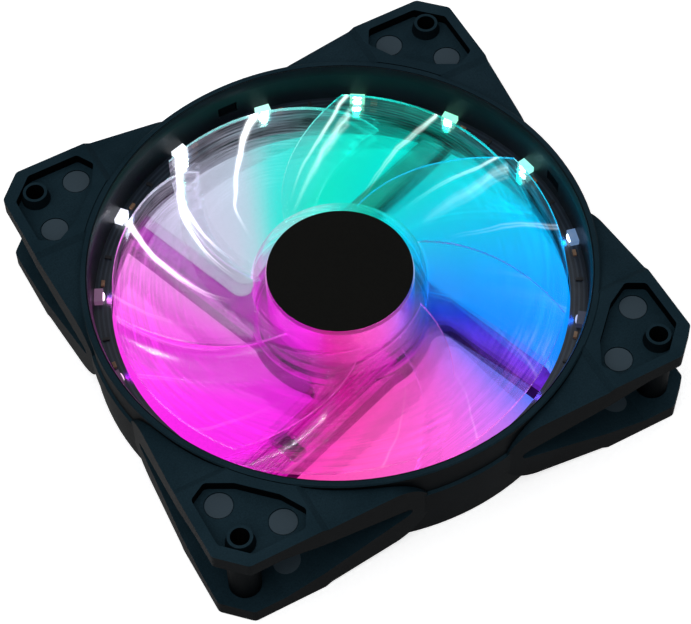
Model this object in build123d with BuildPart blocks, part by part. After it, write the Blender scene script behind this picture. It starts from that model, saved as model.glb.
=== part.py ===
"""Square axial case fan, 120 x 120 x 25 mm, with a ring of addressable lights.

The origin is the centre of the rear face. +Z points to the intake, X and Y run along the sides.
Everything is in millimetres and degrees.
"""

import os
from math import cos, radians, sin

from build123d import *

# ---------------------------------------------------------------- driving dimensions
SIDE = 120.0  # outer square
DEPTH = 25.0  # rear face to front face
SCREW_SPACING = 105.0  # screw to screw along a side
SCREW_HOLE_R = 2.15

# corner flanges
HALF = SIDE / 2
MID = DEPTH / 2
FLANGE_T = 4.0  # thickness of a flange under its raised pad
CORNER_CUT = 6.0  # 45 degree cut at each corner
PAD_END = 36.5  # the raised pad ends here, and the arm begins
ARM_DROP = 0.8  # step from the pad down to the arm
ARM_NECK = 18.0  # the arm turns down to the middle of the frame from here
ARM_TIP = 9.0  # and ends here
ARM_NECK_TOP = 22.4
EYE_TIP = 14.0  # round end of the opening between the two flanges
EYE_KNEE = 46.0  # the opening has its full height from here to the corner
POCKET_DEPTH = 2.6
BOSS_R = 3.7  # at its foot
BOSS_TAPER = 12
SCREW_TUBE_R = 3.7  # tube round the screw, between the two flanges
SCREW = SCREW_SPACING / 2
MARK_R = 3.1  # round tool marks on the pocket floor
MARK_OFFSET = 10.3  # from the screw, along each side
MARK_GROOVE = 0.25

# ring wall of the frame
WALL_R = 59.0
BAND_R = 59.7  # thicker band half way up
BAND_LOW, BAND_HIGH = 8.6, 16.4
LIP_R = 59.5
LIP_T = 1.2
SEAT_R = 58.1  # bore that takes the inlet ring and the light board
SEAT_Z = 12.6
DUCT_R = 53.6  # narrowest radius of the duct
EXIT_R = 57.0  # radius at the rear face

# inlet ring
INLET_OUT_R = 58.05
INLET_IN_R = 57.25
CLIP_COUNT = 4
CLIP_W, CLIP_H, CLIP_Z = 5.0, 3.2, 18.2  # windows in the inlet ring for the frame's latches

# light board
BOARD_T = 1.2
BOARD_IN_R = 53.2
BOARD_TOP = SEAT_Z + BOARD_T
LED_COUNT = 15
LED_STEP = 360 / LED_COUNT
LED_PHASE = 129.3  # angle of the first light
LED_R = 56.1
LED_L, LED_W, LED_H = 3.6, 2.0, 1.6  # along the ring, across it, height

# motor base and struts
BASE_R = 21.8
BASE_Z = 0.3
BASE_FLOOR = 2.2
BASE_TOP = 6.4
BASE_WALL = 1.4
STRUT_TOP = 5.8
STRUT_BEVEL = 0.7
STRUT_FILLET = 3.0  # where a strut leaves the motor base
STRUT_W = 6.0
WIRE_STRUT_W = 9.5
STRUT_OFFSET = 16.5  # distance of a strut's centre line from the fan's axis
STRUT_ANGLES = (19.0, 109.0, 289.0)
WIRE_STRUT_ANGLE = 199.0
CHANNEL_W = 6.2  # channel for the leads, open to the front
CHANNEL_H = 2.0
CHANNEL_START, CHANNEL_END = 4.0, 60.0  # measured along the strut from its closest point to the axis
LEAD_COUNT = 5
LEAD_R = 0.55
LEAD_PITCH = 1.15
LEAD_START, LEAD_END = 2.0, 50.5
GROMMET_END = 58.5
SOCKET_R = 6.0
SOCKET_TOP = 7.4
LABEL_R = 18.8

# bearing
TUBE_R = 4.3
TUBE_BORE_R = 3.0
TUBE_LOW, TUBE_TOP = 2.2, 18.6
SHAFT_R = 1.5
RUNNING_GAP = 0.03
BEARING_LOW, BEARING_TOP = 4.2, 17.6

# stator
CORE_R = 13.6
CORE_BORE_R = TUBE_R + 0.05
CORE_LOW, CORE_TOP = 9.8, 15.8
POLE_NECK_W = 3.4
POLE_ROOT_R = 7.0
SHOE_IN_R = 11.9
SLOT_W = 2.6
INSULATOR_T = 1.0
COIL_IN_R, COIL_OUT_R = 7.6, 10.8
COIL_W = 8.0
COIL_LOW, COIL_TOP = 7.6, 18.0

# motor board
PCB_R = 19.8
PCB_BORE_R = 6.3
PCB_LOW, PCB_TOP = 3.4, 4.6

# rotor
HUB_TOP = 21.6
HUB_LOW = 8.6
HUB_TOP_R = 18.3  # edge of the flat top
HUB_SHOULDER_R = 20.1
HUB_SHOULDER_DROP = 1.7  # the rounded shoulder ends this far below the top
HUB_LOW_R = 20.4
HUB_PLATE = 1.3
DISC_R = 16.9
DISC_T = 0.25
YOKE_R = 17.2
YOKE_T = 1.0
YOKE_LOW = 8.9
MAGNET_IN_R = 14.2
MAGNET_LOW, MAGNET_TOP = 9.2, 17.4
BUSH_R = 3.3
BUSH_LOW, BUSH_TOP = 18.9, 20.8
SHAFT_LOW, SHAFT_TOP = 2.7, 20.6
CLIP_LOW, CLIP_T = 3.1, 0.4
GROOVE_R = 1.2
BLADE_COUNT = 7
BLADE_TIP_R = 52.4

HUB_INSIDE_R = YOKE_R + 0.05
YOKE_TOP = HUB_TOP - HUB_PLATE - 0.05


def save(piece, name):
    """Label a finished piece and write it to its own file."""
    piece.part.label = name
    export_step(piece.part, f"parts/{name}.step")


def polar(radius, angle):
    """Point in the plane at a radius and an angle in degrees."""
    return (radius * cos(radians(angle)), radius * sin(radians(angle)))


def tube(outer_r, inner_r, low, top):
    """Ring-shaped solid about the fan's axis."""
    with BuildPart() as ring:
        with BuildSketch(Plane.XY.offset(low)):
            Circle(outer_r)
            Circle(inner_r, mode=Mode.SUBTRACT)
        extrude(amount=top - low)
    return ring.part


os.makedirs("parts", exist_ok=True)

# ---------------------------------------------------------------- frame
# One corner of the frame, upper half. Both elevations of the corner have the same outline, so the
# outline and the opening are each cut once along X and once along Y.


def arm_outline():
    """Elevation of the upper half: pad, arm and rounded tip. The first axis runs to the corner."""
    with BuildSketch() as outline:
        with BuildLine():
            ThreePointArc((ARM_TIP, MID), (ARM_TIP + 3.6, MID + 7.2), (ARM_NECK, ARM_NECK_TOP))
            Polyline(
                (ARM_NECK, ARM_NECK_TOP),
                (PAD_END - 1.5, DEPTH - ARM_DROP),
                (PAD_END, DEPTH),
                (SIDE, DEPTH),
                (SIDE, MID),
                (ARM_TIP, MID),
            )
        make_face()
    return outline.sketch


def eye_outline():
    """Elevation of the opening between the flanges, upper half."""
    with BuildSketch() as outline:
        with BuildLine():
            ThreePointArc((EYE_TIP, MID), (EYE_TIP + 0.35, MID + 0.75), (EYE_TIP + 1.2, MID + 1.25))
            Polyline(
                (EYE_TIP + 1.2, MID + 1.25),
                (EYE_KNEE, DEPTH - FLANGE_T),
                (SIDE, DEPTH - FLANGE_T),
                (SIDE, MID),
                (EYE_TIP, MID),
            )
        make_face()
    return outline.sketch


with BuildPart() as eye:
    with BuildSketch(Plane.XZ):
        add(eye_outline())
    extrude(amount=SIDE, both=True)
    with BuildSketch(Plane.YZ):
        add(eye_outline())
    extrude(amount=SIDE, both=True, mode=Mode.INTERSECT)

with BuildPart() as corner:
    with BuildSketch() as corner_plan:
        with BuildLine():
            Polyline(
                (ARM_TIP, 58.6),
                (PAD_END, HALF),
                (HALF - CORNER_CUT, HALF),
                (HALF, HALF - CORNER_CUT),
                (HALF, PAD_END),
                (58.6, ARM_TIP),
                (ARM_TIP, ARM_TIP),
                close=True,
            )
        make_face()
        tips = corner_plan.vertices().group_by(SortBy.DISTANCE)[-1]
        fillet(tips, radius=1.6)
        Circle(WALL_R - 0.3, mode=Mode.SUBTRACT)
    extrude(amount=DEPTH)
    with BuildSketch(Plane.XZ):
        add(arm_outline())
    extrude(amount=SIDE, both=True, mode=Mode.INTERSECT)
    with BuildSketch(Plane.YZ):
        add(arm_outline())
    extrude(amount=SIDE, both=True, mode=Mode.INTERSECT)
    # pocket in the raised pad
    with BuildSketch(Plane.XY.offset(DEPTH)) as pocket:
        with BuildLine():
            Polyline(
                (52.0, 57.6),
                (57.6, 52.0),
                (57.6, 39.4),
                (53.4, 37.0),
                (47.6, 40.2),
                (40.2, 47.6),
                (37.0, 53.4),
                (39.4, 57.6),
                close=True,
            )
        make_face()
        fillet(pocket.vertices(), radius=1.2)
    extrude(amount=-POCKET_DEPTH, mode=Mode.SUBTRACT)
    # witness grooves round the two tool marks
    with BuildSketch(Plane.XY.offset(DEPTH - POCKET_DEPTH)):
        with Locations((SCREW, SCREW - MARK_OFFSET), (SCREW - MARK_OFFSET, SCREW)):
            Circle(MARK_R + MARK_GROOVE)
            Circle(MARK_R, mode=Mode.SUBTRACT)
    extrude(amount=-MARK_GROOVE, mode=Mode.SUBTRACT)
    add(eye.part, mode=Mode.SUBTRACT)
    # screw boss, tube and hole
    with BuildSketch(Plane.XY.offset(DEPTH - FLANGE_T)):
        with Locations((SCREW, SCREW)):
            Circle(BOSS_R)
    extrude(amount=FLANGE_T, taper=BOSS_TAPER)
    with BuildSketch(Plane.XY.offset(MID)):
        with Locations((SCREW, SCREW)):
            Circle(SCREW_TUBE_R)
    extrude(amount=DEPTH - FLANGE_T - MID)
    with BuildSketch():
        with Locations((SCREW, SCREW)):
            Circle(SCREW_HOLE_R)
    extrude(amount=DEPTH, mode=Mode.SUBTRACT)
    mirror(about=Plane.XY.offset(MID))

with BuildPart() as spider:
    # motor base and struts in plan, joined with fillets
    with BuildSketch(Plane.XY.offset(BASE_Z)) as spider_plan:
        Circle(BASE_R)
        for angle in STRUT_ANGLES + (WIRE_STRUT_ANGLE,):
            width = WIRE_STRUT_W if angle == WIRE_STRUT_ANGLE else STRUT_W
            with Locations(Location((0, 0, 0), (0, 0, angle))):
                with Locations((HALF / 2, STRUT_OFFSET)):
                    Rectangle(HALF, width)
        inner_corners = spider_plan.vertices().filter_by(
            lambda vertex: abs(Vector(vertex).length - BASE_R) < 0.01
        )
        fillet(inner_corners, radius=STRUT_FILLET)
        Circle(EXIT_R + 1.4, mode=Mode.INTERSECT)
    extrude(amount=STRUT_TOP - BASE_Z)
    long_edges = spider.faces().sort_by(Axis.Z)[-1].edges().filter_by(GeomType.LINE)
    chamfer(long_edges.filter_by(lambda edge: edge.length > STRUT_W * 2), length=STRUT_BEVEL)
    # cup for the motor board
    with BuildSketch(Plane.XY.offset(BASE_Z)):
        Circle(BASE_R)
    extrude(amount=BASE_TOP - BASE_Z)
    with BuildSketch(Plane.XY.offset(BASE_FLOOR)):
        Circle(BASE_R - BASE_WALL)
        Circle(SOCKET_R, mode=Mode.SUBTRACT)
    extrude(amount=DEPTH, mode=Mode.SUBTRACT)
    add(tube(BASE_R - BASE_WALL, PCB_R - 1.4, BASE_FLOOR, PCB_LOW))
    add(tube(SOCKET_R, TUBE_R, BASE_FLOOR, SOCKET_TOP))
    # bearing socket, rear recess for the cap and for the label
    with BuildSketch(Plane.XY.offset(TUBE_LOW)):
        Circle(TUBE_R)
    extrude(amount=DEPTH, mode=Mode.SUBTRACT)
    with BuildSketch(Plane.XY):
        Circle(TUBE_R - 1.0)
    extrude(amount=DEPTH, mode=Mode.SUBTRACT)
    with BuildSketch(Plane.XY):
        Circle(LABEL_R + 0.2)
    extrude(amount=BASE_Z + 0.35, mode=Mode.SUBTRACT)

with BuildPart() as frame:
    with BuildSketch(Plane.XZ):
        with BuildLine():
            Polyline(
                (DUCT_R, 8.0),
                (DUCT_R, SEAT_Z),
                (SEAT_R, SEAT_Z),
                (SEAT_R, DEPTH),
                (LIP_R - 0.3, DEPTH),
                (LIP_R, DEPTH - 0.3),
                (LIP_R, DEPTH - LIP_T),
                (WALL_R, DEPTH - LIP_T - 0.5),
                (WALL_R, BAND_HIGH),
                (BAND_R, BAND_HIGH - 0.4),
                (BAND_R, BAND_LOW + 0.4),
                (WALL_R, BAND_LOW),
                (WALL_R, 0.4),
                (WALL_R - 0.4, 0.0),
                (EXIT_R, 0.0),
            )
            ThreePointArc((EXIT_R, 0.0), (54.5, 3.7), (DUCT_R, 8.0))
        make_face()
    revolve(axis=Axis.Z)
    with PolarLocations(0, 4):
        add(corner.part)
    add(spider.part)
    # fine groove where the lip meets the pads
    with BuildSketch(Plane.XY.offset(DEPTH)):
        Circle(LIP_R + 0.2)
        Circle(LIP_R - 0.05, mode=Mode.SUBTRACT)
    extrude(amount=-0.3, mode=Mode.SUBTRACT)
    # channel for the leads: along the wide strut, through the cup's wall and the ring's wall
    with BuildSketch(Plane.XY.offset(PCB_TOP)):
        with Locations(Location((0, 0, 0), (0, 0, WIRE_STRUT_ANGLE))):
            with Locations(((CHANNEL_START + CHANNEL_END) / 2, STRUT_OFFSET)):
                Rectangle(CHANNEL_END - CHANNEL_START, CHANNEL_W)
    extrude(amount=CHANNEL_H, mode=Mode.SUBTRACT)
    # latches for the inlet ring
    with Locations((0, 0, CLIP_Z)):
        with PolarLocations(SEAT_R - 0.2, CLIP_COUNT):
            Box(0.9, CLIP_W - 0.8, CLIP_H - 0.8)
save(frame, "frame")

# ---------------------------------------------------------------- inlet ring and light board
with BuildPart() as inlet_ring:
    with BuildSketch(Plane.XZ):
        with BuildLine():
            Polyline(
                (INLET_IN_R, BOARD_TOP),
                (INLET_OUT_R, BOARD_TOP),
                (INLET_OUT_R, DEPTH - 0.15),
                (INLET_OUT_R - 0.15, DEPTH),
                (INLET_OUT_R - 0.25, DEPTH),
            )
            ThreePointArc(
                (INLET_OUT_R - 0.25, DEPTH),
                (INLET_IN_R + 0.2, DEPTH - 1.0),
                (INLET_IN_R, DEPTH - 2.6),
            )
            Line((INLET_IN_R, DEPTH - 2.6), (INLET_IN_R, BOARD_TOP))
        make_face()
    revolve(axis=Axis.Z)
    with Locations((0, 0, CLIP_Z)):
        with PolarLocations(INLET_OUT_R, CLIP_COUNT):
            Box(4.0, CLIP_W, CLIP_H, mode=Mode.SUBTRACT)
save(inlet_ring, "inlet_ring")

with BuildPart() as light_board:
    add(tube(INLET_OUT_R, BOARD_IN_R, SEAT_Z, BOARD_TOP))
save(light_board, "light_board")

for index in range(LED_COUNT):
    # side-firing light: a white body with its window in the face towards the axis
    place = Location((0, 0, BOARD_TOP), (0, 0, LED_PHASE - index * LED_STEP))
    with BuildPart() as led:
        with Locations(place):
            with Locations((LED_R, 0, LED_H / 2)):
                Box(LED_W, LED_L, LED_H)
    save(led, f"led_{index + 1:02d}")

# every light has a capacitor beside it, and a resistor half way to the next one
PART_R = 55.4
with BuildPart() as light_capacitors:
    for index in range(LED_COUNT):
        angle = LED_PHASE - index * LED_STEP - 4.2
        with Locations(Location((0, 0, BOARD_TOP), (0, 0, angle))):
            with Locations((PART_R, 0, 0.3)):
                Box(0.8, 1.6, 0.6)
save(light_capacitors, "light_capacitors")

with BuildPart() as light_resistors:
    for index in range(LED_COUNT):
        angle = LED_PHASE - index * LED_STEP - LED_STEP / 2
        with Locations(Location((0, 0, BOARD_TOP), (0, 0, angle))):
            with Locations((PART_R, 0, 0.225)):
                Box(1.6, 0.8, 0.45)
save(light_resistors, "light_resistors")

# ---------------------------------------------------------------- bearing
with BuildPart() as bearing_tube:
    add(tube(TUBE_R, TUBE_BORE_R, TUBE_LOW, TUBE_TOP))
save(bearing_tube, "bearing_tube")

with BuildPart() as sleeve_bearing:
    add(tube(TUBE_BORE_R, SHAFT_R + RUNNING_GAP, BEARING_LOW, BEARING_TOP))
    chamfer(sleeve_bearing.faces().sort_by(Axis.Z)[-1].edges().sort_by(SortBy.LENGTH)[0], length=0.3)
save(sleeve_bearing, "sleeve_bearing")

with BuildPart() as oil_seal:
    add(tube(TUBE_BORE_R, SHAFT_R + 0.4, BEARING_TOP + 0.1, TUBE_TOP - 0.1))
save(oil_seal, "oil_seal")

with BuildPart() as thrust_pad:
    with BuildSketch(Plane.XY.offset(TUBE_LOW)):
        Circle(TUBE_BORE_R - 0.05)
    extrude(amount=0.4)
save(thrust_pad, "thrust_pad")

with BuildPart() as end_cap:
    with BuildSketch(Plane.XY.offset(BASE_Z + 0.75)):
        Circle(TUBE_R - 1.05)
    extrude(amount=TUBE_LOW - BASE_Z - 0.75)
save(end_cap, "end_cap")

with BuildPart() as rear_label:
    with BuildSketch(Plane.XY.offset(BASE_Z + 0.2)):
        Circle(LABEL_R)
    extrude(amount=0.15)
save(rear_label, "rear_label")

# ---------------------------------------------------------------- stator


def stator_plan(bore_r, shoe_r):
    """Plan of a lamination: a ring, four poles and their shoes."""
    with BuildSketch() as plan:
        Circle(shoe_r)
        Circle(SHOE_IN_R, mode=Mode.SUBTRACT)
        with PolarLocations(CORE_R, 4, start_angle=45):
            Rectangle(2 * (CORE_R - POLE_ROOT_R), SLOT_W, mode=Mode.SUBTRACT)
        Circle(POLE_ROOT_R)
        with PolarLocations(CORE_R / 2, 4):
            Rectangle(SHOE_IN_R - 2.0, POLE_NECK_W)
        with PolarLocations(SHOE_IN_R - 1.0, 4):
            Rectangle(3.0, POLE_NECK_W)
        Circle(bore_r, mode=Mode.SUBTRACT)
    return plan.sketch


with BuildPart() as stator_core:
    with BuildSketch(Plane.XY.offset(CORE_LOW)):
        add(stator_plan(CORE_BORE_R, CORE_R))
    extrude(amount=CORE_TOP - CORE_LOW)
save(stator_core, "stator_core")

with BuildPart() as upper_insulator:
    with BuildSketch(Plane.XY.offset(CORE_TOP)):
        add(stator_plan(CORE_BORE_R, CORE_R - 0.8))
    extrude(amount=INSULATOR_T)
save(upper_insulator, "upper_insulator")

PIN_R = 9.6
PIN_ANGLES = (45, 135, 225)
with BuildPart() as lower_insulator:
    with BuildSketch(Plane.XY.offset(CORE_LOW - INSULATOR_T)):
        add(stator_plan(CORE_BORE_R, CORE_R - 0.8))
        for angle in PIN_ANGLES:
            with Locations(Location((0, 0, 0), (0, 0, angle))):
                with Locations((PIN_R - 1.6, 0)):
                    SlotOverall(6.0, 2.0)
        Circle(CORE_BORE_R, mode=Mode.SUBTRACT)
    extrude(amount=INSULATOR_T)
    add(tube(SOCKET_R, CORE_BORE_R, SOCKET_TOP, CORE_LOW - INSULATOR_T))
    with BuildSketch(Plane.XY.offset(CORE_LOW - INSULATOR_T)):
        for angle in PIN_ANGLES:
            with Locations(polar(PIN_R, angle)):
                Circle(0.35)
    extrude(amount=INSULATOR_T, mode=Mode.SUBTRACT)
save(lower_insulator, "lower_insulator")

with BuildPart() as terminal_pins:
    with BuildSketch(Plane.XY.offset(PCB_TOP)):
        for angle in PIN_ANGLES:
            with Locations(polar(PIN_R, angle)):
                Circle(0.35)
    extrude(amount=CORE_LOW - PCB_TOP)
save(terminal_pins, "terminal_pins")

for index in range(4):
    coil_axis = Location((0, 0, 0), (0, 0, 90 * index))
    with BuildPart() as coil:
        with BuildSketch(Plane.YZ.offset(COIL_IN_R)):
            with Locations((0, (COIL_LOW + COIL_TOP) / 2)):
                RectangleRounded(COIL_W, COIL_TOP - COIL_LOW, 1.6)
                Rectangle(
                    POLE_NECK_W,
                    CORE_TOP - CORE_LOW + 2 * INSULATOR_T,
                    mode=Mode.SUBTRACT,
                )
        extrude(amount=COIL_OUT_R - COIL_IN_R)
    coil.part = coil_axis * coil.part
    save(coil, f"coil_{index + 1}")

# ---------------------------------------------------------------- motor board
with BuildPart() as motor_board:
    add(tube(PCB_R, PCB_BORE_R, PCB_LOW, PCB_TOP))
save(motor_board, "motor_board")

with BuildPart() as hall_sensor:
    with Locations(Location((0, 0, PCB_TOP), (0, 0, 45))):
        with Locations((15.2, 0, 0.6)):
            Box(1.4, 3.0, 1.2)
save(hall_sensor, "hall_sensor")

with BuildPart() as driver_chip:
    with Locations(Location((0, 0, PCB_TOP), (0, 0, 150))):
        with Locations((14.5, 0, 0.7)):
            Box(3.9, 4.9, 1.4)
save(driver_chip, "driver_chip")

with BuildPart() as board_capacitors:
    for angle in (20, 100, 340):
        with Locations(Location((0, 0, PCB_TOP), (0, 0, angle))):
            with Locations((15.0, 0, 0.6)):
                Box(1.3, 2.0, 1.2)
save(board_capacitors, "board_capacitors")

# leads from the motor board along the channel into the grommet
along_wire_strut = Location((0, 0, 0), (0, 0, WIRE_STRUT_ANGLE))
lead_rows = [STRUT_OFFSET + (index - (LEAD_COUNT - 1) / 2) * LEAD_PITCH for index in range(LEAD_COUNT)]

with BuildPart() as leads:
    with BuildSketch(Plane.YZ.offset(LEAD_START)):
        with Locations([(row, PCB_TOP + LEAD_R) for row in lead_rows]):
            Circle(LEAD_R)
    extrude(amount=LEAD_END - LEAD_START)
leads.part = along_wire_strut * leads.part
save(leads, "leads")

with BuildPart() as solder_joints:
    with BuildSketch(Plane.XY.offset(PCB_TOP)):
        with Locations([(LEAD_START - 0.7, row) for row in lead_rows]):
            Circle(0.52)
    extrude(amount=0.6, taper=20)
solder_joints.part = along_wire_strut * solder_joints.part
save(solder_joints, "solder_joints")

with BuildPart() as lead_grommet:
    with BuildSketch(Plane.XY.offset(PCB_TOP)):
        with Locations(((LEAD_END + GROMMET_END) / 2, STRUT_OFFSET)):
            Rectangle(GROMMET_END - LEAD_END, CHANNEL_W)
    extrude(amount=CHANNEL_H)
    with BuildSketch(Plane.XY):
        Circle(DUCT_R)
    extrude(amount=STRUT_TOP + 0.2, mode=Mode.SUBTRACT)
lead_grommet.part = along_wire_strut * lead_grommet.part
save(lead_grommet, "lead_grommet")

with BuildPart() as lead_clip:
    with BuildSketch(Plane.XY.offset(STRUT_TOP)):
        with Locations((36.0, STRUT_OFFSET)):
            RectangleRounded(4.0, CHANNEL_W + 2.4, 0.8)
    extrude(amount=0.7)
lead_clip.part = along_wire_strut * lead_clip.part
save(lead_clip, "lead_clip")

# ---------------------------------------------------------------- rotor
with BuildPart() as blade:
    # Sections stand square to radii that turn back as they go out, so the blade is swept.
    for reach, turn, half_chord, low, top, camber, thickness in (
        (13.0, 18.0, 10.0, 9.4, 19.8, 1.4, 1.8),
        (27.0, 1.0, 17.5, 8.6, 20.4, 2.2, 1.5),
        (41.0, -16.0, 24.5, 8.0, 20.8, 3.0, 1.3),
        (54.0, -32.0, 31.5, 8.0, 20.8, 3.2, 1.2),
    ):
        out = (cos(radians(turn)), sin(radians(turn)), 0)
        along = (-out[1], out[0], 0)
        middle = (low + top) / 2 + camber
        with BuildSketch(Plane(origin=(reach * out[0], reach * out[1], 0), x_dir=along, z_dir=out)):
            with BuildLine():
                ThreePointArc((-half_chord, low), (0, middle), (half_chord, top))
                Line((half_chord, top), (half_chord, top - thickness / 2))
                ThreePointArc(
                    (half_chord, top - thickness / 2),
                    (0, middle - thickness),
                    (-half_chord, low - thickness / 2),
                )
                Line((-half_chord, low - thickness / 2), (-half_chord, low))
            make_face()
    loft()
    with BuildSketch():
        Circle(BLADE_TIP_R)
        Circle(HUB_INSIDE_R + 0.4, mode=Mode.SUBTRACT)
    extrude(amount=DEPTH, mode=Mode.INTERSECT)

with BuildPart() as impeller:
    with BuildSketch(Plane.XZ):
        with BuildLine():
            Polyline(
                (0, HUB_TOP - HUB_PLATE),
                (0, HUB_TOP - DISC_T),
                (DISC_R + 0.1, HUB_TOP - DISC_T),
                (DISC_R + 0.1, HUB_TOP),
                (HUB_TOP_R, HUB_TOP),
            )
            ThreePointArc(
                (HUB_TOP_R, HUB_TOP),
                (HUB_SHOULDER_R - 0.55, HUB_TOP - 0.5),
                (HUB_SHOULDER_R, HUB_TOP - HUB_SHOULDER_DROP),
            )
            Polyline(
                (HUB_SHOULDER_R, HUB_TOP - HUB_SHOULDER_DROP),
                (HUB_LOW_R, HUB_LOW + 0.5),
                (HUB_LOW_R, HUB_LOW),
                (HUB_INSIDE_R, HUB_LOW),
                (HUB_INSIDE_R, HUB_TOP - HUB_PLATE),
                (0, HUB_TOP - HUB_PLATE),
            )
        make_face()
    revolve(axis=Axis.Z)
    with PolarLocations(0, BLADE_COUNT):
        add(blade.part)
    with BuildSketch(Plane.XY.offset(HUB_TOP - HUB_PLATE)):
        Circle(BUSH_R)
    extrude(amount=BUSH_TOP - HUB_TOP + HUB_PLATE, mode=Mode.SUBTRACT)
save(impeller, "impeller")

with BuildPart() as hub_disc:
    with BuildSketch(Plane.XY.offset(HUB_TOP - DISC_T)):
        Circle(DISC_R)
    extrude(amount=DISC_T)
save(hub_disc, "hub_disc")

with BuildPart() as rotor_yoke:
    with BuildSketch(Plane.XZ):
        with BuildLine():
            Polyline(
                (BUSH_R + 0.05, YOKE_TOP - YOKE_T),
                (BUSH_R + 0.05, YOKE_TOP),
                (YOKE_R, YOKE_TOP),
                (YOKE_R, YOKE_LOW),
                (YOKE_R - YOKE_T, YOKE_LOW),
                (YOKE_R - YOKE_T, YOKE_TOP - YOKE_T),
                close=True,
            )
        make_face()
    revolve(axis=Axis.Z)
save(rotor_yoke, "rotor_yoke")

with BuildPart() as ring_magnet:
    add(tube(YOKE_R - YOKE_T - 0.05, MAGNET_IN_R, MAGNET_LOW, MAGNET_TOP))
save(ring_magnet, "ring_magnet")

with BuildPart() as shaft_bush:
    add(tube(BUSH_R, SHAFT_R, BUSH_LOW, BUSH_TOP))
save(shaft_bush, "shaft_bush")

with BuildPart() as shaft:
    with BuildSketch(Plane.XY.offset(SHAFT_LOW)):
        Circle(SHAFT_R)
    extrude(amount=SHAFT_TOP - SHAFT_LOW)
    with BuildSketch(Plane.XY.offset(CLIP_LOW)):
        Circle(SHAFT_R + 1)
        Circle(GROOVE_R, mode=Mode.SUBTRACT)
    extrude(amount=CLIP_T, mode=Mode.SUBTRACT)
save(shaft, "shaft")

with BuildPart() as retaining_clip:
    add(tube(SHAFT_R + 0.9, GROOVE_R, CLIP_LOW, CLIP_LOW + CLIP_T))
save(retaining_clip, "retaining_clip")
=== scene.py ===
"""A 120 mm case fan lying on a pale table, its ring of lights switched on.

The CAD frame gives every shape that fits or moves. This script gives the materials, the lenses and
circuit details of the lights, the light that they throw, the table, the studio light and the camera.
"""

import math

import bmesh
import bpy
from mathutils import Matrix, Vector


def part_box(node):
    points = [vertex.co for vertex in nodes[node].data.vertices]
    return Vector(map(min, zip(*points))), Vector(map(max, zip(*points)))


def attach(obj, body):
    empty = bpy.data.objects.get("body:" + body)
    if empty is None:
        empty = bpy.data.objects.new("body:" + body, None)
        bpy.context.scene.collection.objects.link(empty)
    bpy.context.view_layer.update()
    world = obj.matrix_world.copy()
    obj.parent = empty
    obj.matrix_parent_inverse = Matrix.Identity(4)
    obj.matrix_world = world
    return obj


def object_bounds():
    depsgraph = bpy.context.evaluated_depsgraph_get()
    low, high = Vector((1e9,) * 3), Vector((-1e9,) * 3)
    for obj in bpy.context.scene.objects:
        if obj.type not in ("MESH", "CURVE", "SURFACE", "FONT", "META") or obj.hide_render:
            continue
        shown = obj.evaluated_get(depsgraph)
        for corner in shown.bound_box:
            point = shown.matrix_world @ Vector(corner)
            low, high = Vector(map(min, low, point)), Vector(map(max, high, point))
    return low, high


MM = 0.001

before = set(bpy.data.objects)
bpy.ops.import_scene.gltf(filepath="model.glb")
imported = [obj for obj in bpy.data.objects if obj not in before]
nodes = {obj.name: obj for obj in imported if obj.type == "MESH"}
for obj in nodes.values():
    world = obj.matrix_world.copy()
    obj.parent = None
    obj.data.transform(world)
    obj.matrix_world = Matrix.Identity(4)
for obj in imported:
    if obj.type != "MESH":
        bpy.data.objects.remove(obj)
cad_low, cad_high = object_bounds()

# ------------------------------------------------------------------ sizes read from the frame
SIDE = cad_high.x - cad_low.x
DEPTH = cad_high.z - cad_low.z
LEDS = sorted(name for name in nodes if name.startswith("led_"))
LED_STEP = 360 / len(LEDS)
LED_REACH = 55.5 * MM
FIRST_LED = sum(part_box(LEDS[0]), Vector()) / 2
LED_PHASE = math.degrees(math.atan2(FIRST_LED.y, FIRST_LED.x))
YOKE_TO_SHOULDER = 3.4 * MM
HUB_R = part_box("rotor_yoke")[1].x + YOKE_TO_SHOULDER
TIP_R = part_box("impeller")[1].x
SCREW_INSET = 7.5 * MM
SCREW = SIDE / 2 - SCREW_INSET
MARK_OFFSET = 10.3 * MM
MARK_R = 3.1 * MM
STRUT_OFFSET = 16.5 * MM
STRUT_TOP = 6.5 * MM
EXIT_R = 57.0 * MM
STREAK_END_R = 24.0 * MM
STREAK_WIDTH = (0.14 * MM, 0.80 * MM)  # at its inner end and at its lamp
HALO_WIDTH = 1.8 * MM
RIPPLE_PITCH = 1.5 * MM
TRACK_PITCH = 1.1 * MM
WIRE_PITCH = 0.28 * MM
TABLE_GAP = 0.05 * MM

# the colour of each light and how brightly its window shows, going clockwise from the first
LIGHTS = (
    ((0.80, 0.82, 1.00), 1.0),
    ((0.85, 0.92, 1.00), 1.0),
    ((0.30, 1.00, 0.80), 1.0),
    ((0.00, 1.00, 0.50), 1.0),
    ((0.00, 1.00, 0.55), 1.0),
    ((0.00, 0.90, 0.75), 1.0),
    ((0.00, 0.35, 1.00), 0.30),
    ((0.00, 0.18, 1.00), 0.04),
    ((0.35, 0.10, 1.00), 0.03),
    ((1.00, 0.10, 0.50), 0.05),
    ((1.00, 0.04, 0.32), 0.05),
    ((1.00, 0.00, 0.40), 0.05),
    ((1.00, 0.00, 0.75), 0.05),
    ((1.00, 0.00, 0.85), 0.05),
    ((1.00, 0.20, 0.90), 0.12),
)


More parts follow.
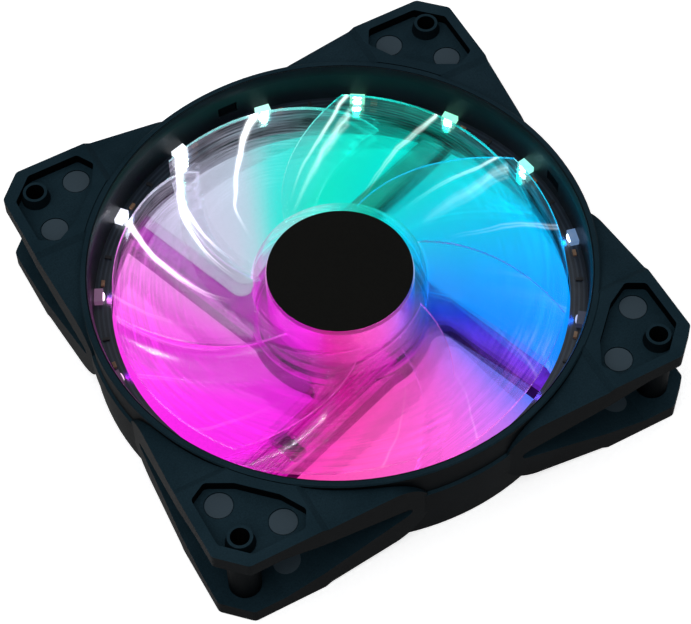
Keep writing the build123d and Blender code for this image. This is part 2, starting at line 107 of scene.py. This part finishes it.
# the same light where it lands below the rotor, by direction from the axis as a turn from +X
RING_LIGHT = (
    (0.000, (0.00, 0.56, 0.80)),
    (0.053, (0.00, 0.68, 0.68)),
    (0.100, (0.00, 0.78, 0.58)),
    (0.170, (0.01, 0.80, 0.68)),
    (0.215, (0.48, 0.66, 0.80)),
    (0.270, (0.64, 0.62, 0.78)),
    (0.350, (0.60, 0.50, 0.74)),
    (0.385, (0.90, 0.20, 0.82)),
    (0.450, (0.96, 0.02, 0.86)),
    (0.580, (0.96, 0.02, 0.80)),
    (0.640, (0.96, 0.03, 0.44)),
    (0.700, (0.97, 0.06, 0.50)),
    (0.780, (0.90, 0.10, 0.66)),
    (0.830, (0.50, 0.14, 0.86)),
    (0.870, (0.02, 0.12, 0.92)),
    (0.930, (0.00, 0.30, 0.95)),
    (1.000, (0.00, 0.56, 0.80)),
)

# how far a streak turns back for each millimetre inward, in degrees, by direction from the axis
STREAK_RATE = (
    (0.00, 0.46),
    (0.09, 0.48),
    (0.17, 0.66),
    (0.24, 1.00),
    (0.31, 1.30),
    (0.39, 1.15),
    (0.60, 1.00),
    (1.00, 0.46),
)

# how strong a streak is, by the direction of its lamp
STREAK_POWER = (
    (0.00, 0.22),
    (0.18, 0.32),
    (0.22, 0.80),
    (0.37, 1.00),
    (0.41, 0.06),
    (0.56, 0.02),
    (0.92, 0.03),
    (1.00, 0.22),
)

# what the black struts and motor base catch of it
STRUT_LIGHT = (
    (0.00, (0.00, 0.14, 0.42)),
    (0.06, (0.00, 0.28, 0.30)),
    (0.14, (0.00, 0.30, 0.20)),
    (0.23, (0.10, 0.24, 0.30)),
    (0.32, (0.26, 0.02, 0.32)),
    (0.38, (0.36, 0.00, 0.36)),
    (0.50, (0.50, 0.00, 0.44)),
    (0.60, (0.56, 0.00, 0.42)),
    (0.67, (0.64, 0.00, 0.26)),
    (0.78, (0.46, 0.00, 0.34)),
    (0.85, (0.12, 0.01, 0.52)),
    (0.91, (0.00, 0.02, 0.50)),
    (1.00, (0.00, 0.14, 0.42)),
)


# ------------------------------------------------------------------ material helpers
class Shader:
    """A material with a Principled shader, and short calls for the nodes that feed it."""

    def __init__(self, name, **inputs):
        self.material = bpy.data.materials.new(name)
        self.material.use_nodes = True
        self.tree = self.material.node_tree
        self.bsdf = self.tree.nodes["Principled BSDF"]
        for socket, value in inputs.items():
            self.set(socket.replace("_", " "), value)
        self.place = self.node("ShaderNodeTexCoord").outputs["Object"]

    def set(self, socket, value):
        target = self.bsdf.inputs[socket]
        if isinstance(value, (tuple, list)) and len(value) == 3:
            value = (*value, 1.0)
        target.default_value = value

    def node(self, kind, **settings):
        made = self.tree.nodes.new(kind)
        for key, value in settings.items():
            setattr(made, key, value)
        return made

    def link(self, source, target):
        self.tree.links.new(source, target)

    def feed(self, socket, source):
        self.link(source, self.bsdf.inputs[socket])

    def math(self, operation, first, second=None, third=None, clamp=False):
        made = self.node("ShaderNodeMath", operation=operation, use_clamp=clamp)
        for slot, value in zip(made.inputs, (first, second, third)):
            if value is None:
                continue
            if isinstance(value, (int, float)):
                slot.default_value = value
            else:
                self.link(value, slot)
        return made.outputs[0]

    def noise(self, scale, detail=3.0, roughness=0.5, place=None):
        made = self.node("ShaderNodeTexNoise")
        made.inputs["Scale"].default_value = scale
        made.inputs["Detail"].default_value = detail
        made.inputs["Roughness"].default_value = roughness
        self.link(place or self.place, made.inputs["Vector"])
        return made.outputs["Fac"]

    def ramp(self, factor, stops):
        made = self.node("ShaderNodeValToRGB")
        while len(made.color_ramp.elements) < len(stops):
            made.color_ramp.elements.new(0.5)
        for element, (position, colour) in zip(made.color_ramp.elements, stops):
            element.position = position
            element.color = (*colour, 1.0) if len(colour) == 3 else colour
        self.link(factor, made.inputs["Fac"])
        return made.outputs["Color"]

    def curve(self, factor, stops):
        """A number that follows factor from stop to stop."""
        return self.ramp(factor, [(place, (value,) * 3) for place, value in stops])

    def spread(self, factor, low, high):
        """factor from 0 to 1 becomes low to high."""
        made = self.node("ShaderNodeMapRange")
        made.inputs["To Min"].default_value = low
        made.inputs["To Max"].default_value = high
        self.link(factor, made.inputs["Value"])
        return made.outputs["Result"]

    def mix(self, factor, first, second):
        made = self.node("ShaderNodeMix", data_type="RGBA")
        for slot, value in zip((made.inputs[0], made.inputs[6], made.inputs[7]), (factor, first, second)):
            if isinstance(value, (int, float)):
                slot.default_value = value
            elif isinstance(value, tuple):
                slot.default_value = (*value, 1.0)
            else:
                self.link(value, slot)
        return made.outputs[2]

    def bump(self, height, strength, distance):
        made = self.node("ShaderNodeBump")
        made.inputs["Strength"].default_value = strength
        made.inputs["Distance"].default_value = distance
        self.link(height, made.inputs["Height"])
        self.feed("Normal", made.outputs["Normal"])

    def axes(self):
        """X, Y and Z of the point, in metres."""
        made = self.node("ShaderNodeSeparateXYZ")
        self.link(self.place, made.inputs[0])
        return made.outputs["X"], made.outputs["Y"], made.outputs["Z"]

    def polar(self, fixed=False):
        """Distance from the axis and direction round it, as a turn from 0 to 1.

        fixed follows the room instead of the piece, for light that stays put while the rotor spins.
        """
        split = self.node("ShaderNodeSeparateXYZ")
        place = self.node("ShaderNodeNewGeometry").outputs["Position"] if fixed else self.place
        self.link(place, split.inputs[0])
        x, y = split.outputs["X"], split.outputs["Y"]
        radius = self.math("SQRT", self.math("ADD", self.math("MULTIPLY", x, x), self.math("MULTIPLY", y, y)))
        turn = self.math("DIVIDE", self.math("ARCTAN2", y, x), 2 * math.pi)
        return radius, self.math("FRACT", self.math("ADD", turn, 1.0))

    def radius(self):
        return self.polar()[0]

    def upward(self):
        """How far the surface faces up, from -1 to 1."""
        split = self.node("ShaderNodeSeparateXYZ")
        self.link(self.node("ShaderNodeNewGeometry").outputs["Normal"], split.inputs[0])
        return split.outputs["Z"]

    def between(self, value, low, high, soft):
        """1 where value lies between low and high, with soft ends."""
        rise = self.node("ShaderNodeMapRange", interpolation_type="SMOOTHSTEP")
        fall = self.node("ShaderNodeMapRange", interpolation_type="SMOOTHSTEP")
        for made, start, end in ((rise, low - soft, low + soft), (fall, high + soft, high - soft)):
            made.inputs["From Min"].default_value = start
            made.inputs["From Max"].default_value = end
            self.link(value, made.inputs["Value"])
        return self.math("MULTIPLY", rise.outputs["Result"], fall.outputs["Result"])

    def ring_light(self, turn):
        """Colour of the light that the ring throws, by direction from the axis."""
        return self.ramp(turn, RING_LIGHT)

    def catch_light(self):
        """Lets a dark part low inside the duct glow with the light that comes through the rotor."""
        radius, turn = self.polar()
        inside = self.between(radius, 0.0, EXIT_R - 1.5 * MM, 1.0 * MM)
        low = self.math("LESS_THAN", self.axes()[2], STRUT_TOP)
        facing = self.spread(self.math("MAXIMUM", self.upward(), 0.0), 0.10, 1.0)
        patches = self.spread(self.noise(190.0, 4.0, 0.7), 0.1, 2.2)
        lit = self.math("MULTIPLY", facing, patches)
        caught = self.math("MULTIPLY", self.math("MULTIPLY", inside, low), lit)
        self.feed("Emission Color", self.ramp(turn, STRUT_LIGHT))
        self.feed("Emission Strength", caught)


def paint(node_names, material):
    """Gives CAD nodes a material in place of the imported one."""
    for name in node_names:
        data = nodes[name].data
        data.materials.clear()
        data.materials.append(material)


# ------------------------------------------------------------------ materials
def moulded_black():
    """Black moulded plastic with a fine sparked grain, with painted shade: the more a face looks up, the
    lighter and bluer it is painted, and the sides are darkest. Tool marks on the pads are smoother and
    greyer. Low inside the duct it carries painted glow of the ring's light.
    """
    s = Shader("moulded_black", Specular_IOR_Level=0.025)
    x, y, _ = s.axes()
    across, along = s.math("ABSOLUTE", x), s.math("ABSOLUTE", y)
    near = None
    for first, second in ((SCREW, SCREW - MARK_OFFSET), (SCREW - MARK_OFFSET, SCREW)):
        dx, dy = s.math("SUBTRACT", across, first), s.math("SUBTRACT", along, second)
        reach = s.math("SQRT", s.math("ADD", s.math("MULTIPLY", dx, dx), s.math("MULTIPLY", dy, dy)))
        near = reach if near is None else s.math("MINIMUM", near, reach)
    mark = s.math("LESS_THAN", near, MARK_R)
    cloud = s.noise(60.0, 4.0, 0.6)
    grain = s.noise(2600.0, 2.0, 0.7)
    # painted shade: a dark copy for the sides and a lit copy for upward faces, mixed by how far the face
    # looks up
    shaded_side = s.ramp(cloud, ((0.3, (0.0006, 0.0012, 0.0018)), (0.7, (0.0018, 0.0030, 0.0040))))
    lit_top = s.ramp(cloud, ((0.3, (0.0090, 0.0240, 0.0340)), (0.7, (0.0150, 0.0350, 0.0480))))
    shade = s.node("ShaderNodeMix", data_type="RGBA", blend_type="MULTIPLY")
    shade.inputs[0].default_value = 1.0
    s.link(s.mix(s.math("MAXIMUM", s.upward(), 0.0), shaded_side, lit_top), shade.inputs[6])
    s.link(s.spread(grain, 0.55, 1.45), shade.inputs[7])
    s.feed("Base Color", s.mix(mark, shade.outputs[2], (0.054, 0.080, 0.100)))
    s.feed("Roughness", s.math("SUBTRACT", s.spread(grain, 0.52, 0.76), s.math("MULTIPLY", mark, 0.12)))
    fine = s.math("ADD", s.math("MULTIPLY", grain, 0.7), s.math("MULTIPLY", s.noise(900.0, 2.0), 0.5))
    s.bump(fine, 0.35, 0.00006)
    s.catch_light()
    return s.material


def inlet_black():
    """The same plastic, smoother, where air and light pass along the wall."""
    s = Shader("inlet_black", Specular_IOR_Level=0.15)
    cloud = s.noise(90.0, 4.0)
    s.feed("Base Color", s.ramp(cloud, ((0.3, (0.004, 0.007, 0.010)), (0.7, (0.008, 0.013, 0.017)))))
    s.feed("Roughness", s.spread(s.noise(1500.0, 2.0), 0.30, 0.46))
    s.bump(s.noise(1800.0, 2.0), 0.2, 0.00004)
    return s.material


def circuit_board():
    """Dark solder mask with concentric copper tracks showing through it."""
    s = Shader("circuit_board", Specular_IOR_Level=0.5, Coat_Weight=0.35, Coat_Roughness=0.2)
    radius = s.radius()
    track = s.math("FRACT", s.math("MULTIPLY", radius, 1.0 / TRACK_PITCH))
    line = s.math("LESS_THAN", track, 0.42)
    cloud = s.noise(200.0, 3.0)
    mask = s.ramp(cloud, ((0.3, (0.006, 0.012, 0.022)), (0.7, (0.010, 0.019, 0.032))))
    copper = s.ramp(cloud, ((0.3, (0.020, 0.034, 0.052)), (0.7, (0.028, 0.044, 0.064))))
    s.feed("Base Color", s.mix(line, mask, copper))
    s.feed("Roughness", s.spread(s.noise(700.0, 2.0), 0.30, 0.48))
    s.bump(line, 0.35, 0.00003)
    return s.material


def streaks(s):
    """Light of each lamp drawn out along the blades: line, halo, distance from the axis and turn.

    A streak starts at its lamp and turns back as it comes in, less and less from lamp to lamp.
    """
    radius, turn = s.polar(fixed=True)
    inward = s.math("SUBTRACT", LED_REACH, radius)
    rate = s.curve(turn, STREAK_RATE)
    swept = s.math("MULTIPLY", s.math("MULTIPLY", inward, rate), 1.0 / MM)
    waver = s.math("MULTIPLY", s.math("SUBTRACT", s.noise(70.0, 2.0), 0.5), 5.0)
    bearing = s.math("SUBTRACT", s.math("MULTIPLY", turn, 360.0), s.math("ADD", swept, waver))
    lamp = s.math("DIVIDE", s.math("SUBTRACT", LED_PHASE + 360.0, bearing), LED_STEP)
    offset = s.math("ABSOLUTE", s.math("SUBTRACT", s.math("FRACT", s.math("ADD", lamp, 0.5)), 0.5))
    distance = s.math("MULTIPLY", s.math("MULTIPLY", offset, math.radians(LED_STEP)), radius)
    far = s.node("ShaderNodeMapRange")
    far.inputs["From Min"].default_value = STREAK_END_R
    far.inputs["From Max"].default_value = TIP_R
    s.link(radius, far.inputs["Value"])
    power = s.curve(s.math("FRACT", s.math("ADD", s.math("DIVIDE", bearing, 360.0), 1.0)), STREAK_POWER)
    width = s.math("MULTIPLY", s.spread(far.outputs["Result"], *STREAK_WIDTH), s.spread(power, 0.35, 1.0))
    spread = s.math("DIVIDE", distance, width)
    line = s.math("EXPONENT", s.math("MULTIPLY", s.math("MULTIPLY", spread, spread), -1.0))
    halo = s.math("EXPONENT", s.math("MULTIPLY", s.math("DIVIDE", distance, HALO_WIDTH), -1.0))
    reach = s.math("POWER", s.math("MAXIMUM", far.outputs["Result"], 0.0), 1.3)
    strength = s.math("MULTIPLY", s.math("MULTIPLY", line, power), reach)
    return strength, s.math("MULTIPLY", s.math("MULTIPLY", halo, power), reach), radius, turn


def clear_finish(name, alpha, edge):
    """Clear polycarbonate with fine turned ripples, catching the light of the ring."""
    s = Shader(
        name,
        Base_Color=(0.93, 0.96, 1.0),
        Transmission_Weight=1.0,
        IOR=1.28,
        Specular_IOR_Level=0.25,
        Alpha=alpha,
    )
    strength, halo, radius, turn = streaks(s)
    drift = s.math("MULTIPLY", s.noise(55.0, 2.0), 0.0016)
    wave = s.math("SINE", s.math("MULTIPLY", s.math("ADD", s.radius(), drift), 2 * math.pi / RIPPLE_PITCH))
    s.feed("Roughness", s.spread(s.noise(240.0, 3.0), 0.06, 0.20))
    ripple = s.math("ADD", s.math("MULTIPLY", wave, 0.5), s.math("MULTIPLY", s.noise(1400.0, 2.0), 0.35))
    s.bump(ripple, 0.10, 0.00006)
    # painted glints: fine arcs of lamp light where the tips run past the lamps
    arcs = s.node("ShaderNodeCombineXYZ")
    s.link(s.math("MULTIPLY", radius, 1.0 / MM), arcs.inputs[0])
    s.link(s.math("MULTIPLY", turn, 9.0), arcs.inputs[1])
    fine = s.noise(1.6, 3.0, 0.75, place=arcs.outputs[0])
    fine = s.math("POWER", s.math("MAXIMUM", s.math("SUBTRACT", fine, 0.42), 0.0), 1.3)
    rim = s.between(radius, 34.0 * MM, TIP_R + 1.0 * MM, 6.0 * MM)
    # painted glow of the ring's light: on the hub, on the blade edges by edge, in the arcs and in the halo
    # round each streak
    hub = s.math("LESS_THAN", radius, HUB_R)
    body = s.math("ADD", s.math("MULTIPLY", hub, 0.38), edge)
    body = s.math("ADD", body, s.math("MULTIPLY", s.math("MULTIPLY", fine, rim), 1.6))
    tips = s.between(radius, 44.0 * MM, TIP_R + 1.0 * MM, 3.0 * MM)
    body = s.math("ADD", body, s.math("MULTIPLY", s.math("MULTIPLY", fine, tips), 3.0))
    body = s.math("ADD", body, s.math("MULTIPLY", halo, 0.14))
    up = s.math("GREATER_THAN", s.upward(), 0.1)
    beam = s.math("MULTIPLY", s.math("MULTIPLY", strength, up), 8.0)
    white = s.math("DIVIDE", beam, s.math("ADD", s.math("ADD", beam, body), 0.001), clamp=True)
    s.feed("Emission Color", s.mix(s.math("MULTIPLY", white, 0.75), s.ring_light(turn), (1.0, 1.0, 0.97)))
    s.feed("Emission Strength", s.math("ADD", body, beam))
    return s.material


def film_black():
    """Plain black disc on the hub."""
    s = Shader("film_black", Specular_IOR_Level=0.06)
    weave = s.noise(2200.0, 2.0)
    s.feed("Base Color", s.ramp(weave, ((0.35, (0.0068, 0.0068, 0.0060)), (0.65, (0.0086, 0.0086, 0.0076)))))
    s.feed("Roughness", s.spread(weave, 0.62, 0.80))
    s.bump(weave, 0.12, 0.00003)
    return s.material


def lead_insulation():
    """Dull black insulation."""
    s = Shader("lead_insulation", Specular_IOR_Level=0.15)
    cloud = s.noise(300.0, 4.0)
    s.feed("Base Color", s.ramp(cloud, ((0.3, (0.006, 0.006, 0.007)), (0.7, (0.014, 0.014, 0.016)))))
    s.feed("Roughness", s.spread(s.noise(1500.0, 3.0), 0.5, 0.65))
    # painted glow of the ring's light where the leads lie low in the duct
    s.catch_light()
    return s.material


def metal(name, dark, light, low, high, scale):
    """Bare metal with streaks of shade and roughness."""
    s = Shader(name, Metallic=1.0)
    cloud = s.noise(scale, 5.0, 0.65)
    s.feed("Base Color", s.ramp(cloud, ((0.3, dark), (0.7, light))))
    s.feed("Roughness", s.spread(s.noise(scale * 6, 3.0), low, high))
    s.bump(s.noise(scale * 14, 2.0), 0.15, 0.00003)
    return s.material


def plastic(name, dark, light, low, high, scale, specular=0.5):
    """Moulded or cast part with a clouded colour and a fine grain."""
    s = Shader(name, Specular_IOR_Level=specular)
    s.feed("Base Color", s.ramp(s.noise(scale, 4.0), ((0.3, dark), (0.7, light))))
    s.feed("Roughness", s.spread(s.noise(scale * 5, 3.0), low, high))
    s.bump(s.noise(scale * 12, 2.0), 0.2, 0.00004)
    return s.material


def winding():
    """Enamelled copper wire, turn beside turn."""
    s = Shader("winding", Metallic=0.75, Coat_Weight=0.6, Coat_Roughness=0.15)
    _, _, z = s.axes()
    turns = s.math("SINE", s.math("MULTIPLY", z, 2 * math.pi / WIRE_PITCH))
    s.feed("Base Color", s.ramp(s.noise(400.0), ((0.3, (0.40, 0.13, 0.04)), (0.7, (0.60, 0.24, 0.08)))))
    s.feed("Roughness", s.spread(turns, 0.22, 0.38))
    s.bump(turns, 0.6, 0.00006)
    return s.material


def glow(name, colour, strength, white):
    """Lit window of a light in its colour, whitened by the given share."""
    s = Shader(name, Base_Color=(0.06, 0.06, 0.06), Roughness=0.4, Emission_Strength=strength)
    core = s.spread(s.noise(900.0, 1.0), white - 0.1, white + 0.1)
    s.feed("Emission Color", s.mix(core, colour, (1.0, 1.0, 1.0)))
    return s.material


paint(["frame", "end_cap", "lead_clip"], moulded_black())
paint(["inlet_ring"], inlet_black())
board_finish = circuit_board()
paint(["light_board", "motor_board"], board_finish)
paint(["impeller"], clear_finish("clear_blades", 0.36, 0.0))
# the blade edges take a copy of the clear finish with painted edge glow of the ring's light
nodes["impeller"].data.materials.append(clear_finish("blade_edges", 0.70, 0.28))
for face in nodes["impeller"].data.polygons:
    outside_hub = face.center.xy.length > HUB_R
    if outside_hub and abs(face.normal.z) < 0.6:
        face.material_index = 1
paint(["hub_disc"], film_black())
paint([f"coil_{n}" for n in range(1, 5)], winding())
paint(["leads"], lead_insulation())

BRASS = ["bearing_tube", "shaft_bush"]
SOLDER = ["terminal_pins", "solder_joints"]
NYLON = ["upper_insulator", "lower_insulator", "oil_seal", "thrust_pad", "retaining_clip"]
CHIPS = ["light_resistors", "driver_chip", "hall_sensor"]
CAPACITORS = ["light_capacitors", "board_capacitors"]
# pieces, finish name, dark and light shade, least and most roughness, size of the clouding
METALS = (
    (["rotor_yoke", "shaft"], "pressed_steel", (0.50, 0.50, 0.52), (0.66, 0.66, 0.68), 0.16, 0.32, 160.0),
    (BRASS, "turned_brass", (0.60, 0.42, 0.16), (0.74, 0.54, 0.24), 0.2, 0.35, 200.0),
    (["sleeve_bearing"], "sintered_bronze", (0.36, 0.22, 0.11), (0.50, 0.32, 0.18), 0.4, 0.6, 500.0),
    (["stator_core"], "lamination_steel", (0.26, 0.26, 0.27), (0.40, 0.40, 0.42), 0.35, 0.55, 300.0),
    (SOLDER, "bright_solder", (0.55, 0.55, 0.57), (0.75, 0.75, 0.77), 0.15, 0.3, 500.0),
)
PLASTICS = (
    (["ring_magnet"], "ferrite", (0.035, 0.035, 0.036), (0.06, 0.06, 0.062), 0.5, 0.7, 220.0),
    (NYLON, "natural_nylon", (0.62, 0.59, 0.50), (0.72, 0.70, 0.62), 0.4, 0.55, 150.0),
    (CAPACITORS, "ceramic_body", (0.20, 0.11, 0.06), (0.34, 0.21, 0.12), 0.3, 0.45, 700.0),
    (CHIPS, "chip_epoxy", (0.010, 0.010, 0.011), (0.022, 0.022, 0.024), 0.4, 0.6, 900.0),
    (["lead_grommet"], "grommet_rubber", (0.010, 0.010, 0.010), (0.020, 0.020, 0.020), 0.6, 0.8, 300.0, 0.3),
    (["rear_label"], "plain_label", (0.030, 0.031, 0.034), (0.042, 0.043, 0.046), 0.45, 0.6, 120.0),
)
for rows, finish in ((METALS, metal), (PLASTICS, plastic)):
    for pieces, *values in rows:
        paint(pieces, finish(*values))


# ------------------------------------------------------------------ the lights on the ring
def mesh_object(name, fill, material, body="root"):
    """A mesh made by fill(bm), painted, riding on a body."""
    bm = bmesh.new()
    fill(bm)
    data = bpy.data.meshes.new(name)
    bm.to_mesh(data)
    bm.free()
    data.materials.append(material)
    made = bpy.data.objects.new(name, data)
    bpy.context.scene.collection.objects.link(made)
    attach(made, body)
    return made


def dome(bm, matrix, length, width, height, rings=4, segments=20):
    """Low rounded lens on a rounded oval, standing on its own plane."""
    levels = []
    for ring in range(rings):
        rise = ring / rings
        spread = math.cos(rise * math.pi / 2)
        level = []
        for step in range(segments):
            turn = 2 * math.pi * step / segments
            cosine, sine = math.cos(turn), math.sin(turn)
            square = max(abs(cosine), abs(sine)) ** -0.6
            level.append(
                bm.verts.new(
                    matrix
                    @ Vector(
                        (
                            cosine * square * width / 2 * spread,
                            sine * square * length / 2 * spread,
                            height * math.sin(rise * math.pi / 2),
                        )
                    )
                )
            )
        levels.append(level)
    peak = bm.verts.new(matrix @ Vector((0, 0, height)))
    for lower, upper in zip(levels, levels[1:]):
        for step in range(segments):
            after = (step + 1) % segments
            bm.faces.new((lower[step], lower[after], upper[after], upper[step]))
    for step in range(segments):
        bm.faces.new((levels[-1][step], levels[-1][(step + 1) % segments], peak))
    bm.faces.new(tuple(reversed(levels[0])))
    for face in bm.faces:
        face.smooth = True


for index, name in enumerate(LEDS):
    corners = [vertex.co for vertex in nodes[name].data.vertices]
    middle = sum(corners, Vector()) / len(corners)
    outward = Vector((middle.x, middle.y, 0)).normalized()
    face_reach = min(corner.dot(outward) for corner in corners)
    height = max(corner.z for corner in corners) - min(corner.z for corner in corners)
    window = outward * face_reach + Vector((0, 0, middle.z))
    # local Z points to the axis, local Y runs along the ring
    along = Vector((0, 0, 1)).cross(outward)
    seat = Matrix.Translation(window) @ Matrix((along.cross(-outward), along, -outward)).transposed().to_4x4()
    colour, shown = LIGHTS[index]

    def lens(bm):
        dome(bm, seat, 2.2 * MM, height * 0.7, 0.45 * MM)

    paint([name], glow(f"body_{index + 1:02d}", colour, 1.2 * shown, 0.3))
    window_glow = glow(f"lit_{index + 1:02d}", colour, 22.0 * shown, 0.55)
    mesh_object(f"lens_{index + 1:02d}", lens, window_glow)

    lamp_data = bpy.data.lights.new(f"throw_{index + 1:02d}", "SPOT")
    lamp_data.color = colour
    lamp_data.energy = 0.004
    lamp_data.spot_size = math.radians(150)
    lamp_data.spot_blend = 0.6
    lamp_data.shadow_soft_size = 0.8 * MM
    lamp = bpy.data.objects.new(f"throw_{index + 1:02d}", lamp_data)
    lamp.location = window - outward * 0.9 * MM
    lamp.rotation_euler = (-outward - Vector((0, 0, 0.25))).to_track_quat("-Z", "Y").to_euler()
    bpy.context.scene.collection.objects.link(lamp)


# ------------------------------------------------------------------ table, lit through the fan
def table_finish():
    """Pale table. Under the fan it is painted dark as painted shade from the studio light, and shows a
    painted pool of the ring's light, parted by painted shadows of the struts.
    """
    s = Shader("table", Roughness=0.7, Specular_IOR_Level=0.1)
    radius, turn = s.polar(fixed=True)
    # painted strut shadows: the sectors of the pool lean along the struts
    lean = s.math("ARCSINE", s.math("DIVIDE", STRUT_OFFSET, s.math("MAXIMUM", radius, STRUT_OFFSET)))
    sweep = s.math("FRACT", s.math("ADD", s.math("SUBTRACT", turn, s.math("DIVIDE", lean, 2 * math.pi)), 1.0))
    painted_light_pool = s.ramp(
        sweep,
        (
            (0.000, (0.00, 0.62, 0.82)),
            (0.053, (0.00, 0.74, 0.68)),
            (0.120, (0.00, 0.80, 0.60)),
            (0.175, (0.05, 0.80, 0.74)),
            (0.200, (0.54, 0.66, 0.79)),
            (0.240, (0.62, 0.62, 0.79)),
            (0.300, (0.56, 0.48, 0.72)),
            (0.308, (0.97, 0.36, 0.86)),
            (0.370, (0.96, 0.06, 0.82)),
            (0.460, (0.96, 0.02, 0.84)),
            (0.535, (0.92, 0.02, 0.78)),
            (0.550, (0.97, 0.04, 0.42)),
            (0.620, (0.99, 0.10, 0.50)),
            (0.700, (0.96, 0.12, 0.68)),
            (0.760, (0.52, 0.18, 0.90)),
            (0.800, (0.01, 0.20, 0.98)),
            (0.900, (0.00, 0.34, 0.98)),
            (1.000, (0.00, 0.62, 0.82)),
        ),
    )
    under = s.math("LESS_THAN", radius, EXIT_R + 1.5 * MM)
    paper = s.noise(1400.0, 3.0, 0.7)
    # painted shade: the table is nearly black under the fan, and the painted pool glows there instead
    s.feed("Base Color", s.mix(under, (0.80, 0.80, 0.80), (0.001, 0.001, 0.001)))
    s.feed("Emission Color", s.mix(under, (1.0, 1.0, 1.0), painted_light_pool))
    sparkle = s.spread(paper, 0.84, 1.16)
    strength = s.math("ADD", s.math("MULTIPLY", under, 0.28), 0.72)
    s.feed("Emission Strength", s.math("MULTIPLY", strength, sparkle))
    s.bump(paper, 0.15, 0.0001)
    return s.material


def flat_square(bm):
    bmesh.ops.create_grid(bm, x_segments=1, y_segments=1, size=3.0)


floor_data = bpy.data.meshes.new("table")
floor_mesh = bmesh.new()
flat_square(floor_mesh)
floor_mesh.to_mesh(floor_data)
floor_mesh.free()
floor_data.materials.append(table_finish())
table = bpy.data.objects.new("table", floor_data)
table.location.z = cad_low.z - TABLE_GAP
bpy.context.scene.collection.objects.link(table)


# ------------------------------------------------------------------ studio
def soft_box(name, position, target, size, watts, colour=(1.0, 1.0, 1.0)):
    """Large soft area light that faces a point."""
    data = bpy.data.lights.new(name, "AREA")
    data.shape = "DISK"
    data.size = size
    data.energy = watts
    data.color = colour
    made = bpy.data.objects.new(name, data)
    made.location = position
    made.rotation_euler = (Vector(target) - Vector(position)).to_track_quat("-Z", "Y").to_euler()
    bpy.context.scene.collection.objects.link(made)
    return made


soft_box("key", (-0.5, -0.2, 1.1), (0, 0, 0), 1.8, 7.0)
soft_box("fill", (0.9, 0.5, 0.9), (0, 0, 0), 1.6, 2.6)

world = bpy.data.worlds.new("studio")
world.use_nodes = True
world.node_tree.nodes["Background"].inputs["Color"].default_value = (0.92, 0.95, 1.0, 1.0)
world.node_tree.nodes["Background"].inputs["Strength"].default_value = 0.22
bpy.context.scene.world = world
bpy.context.scene.view_settings.view_transform = "Standard"


# ------------------------------------------------------------------ camera
def photo_camera():
    """Camera at the photographed angle: azimuth, elevation, roll, target and distance."""
    azimuth, elevation, roll = math.radians(-26.61), math.radians(55.8), math.radians(-2.345)
    target = Vector((-1.673 * MM, -5.368 * MM, DEPTH / 2))
    distance = 562.7 * MM
    back = Vector(
        (
            math.sin(azimuth) * math.cos(elevation),
            -math.cos(azimuth) * math.cos(elevation),
            math.sin(elevation),
        )
    )
    level = (-back).cross(Vector((0, 0, 1))).normalized()
    upright = level.cross(-back)
    right = level * math.cos(roll) + upright * math.sin(roll)
    up = upright * math.cos(roll) - level * math.sin(roll)
    data = bpy.data.cameras.new("camera")
    data.lens = 126.76
    data.sensor_width = 36.0
    data.clip_start, data.clip_end = 0.01, 20.0
    made = bpy.data.objects.new("camera", data)
    facing = Matrix((right, up, back)).transposed().to_4x4()
    made.matrix_world = Matrix.Translation(target + back * distance) @ facing
    bpy.context.scene.collection.objects.link(made)
    bpy.context.scene.camera = made


photo_camera()
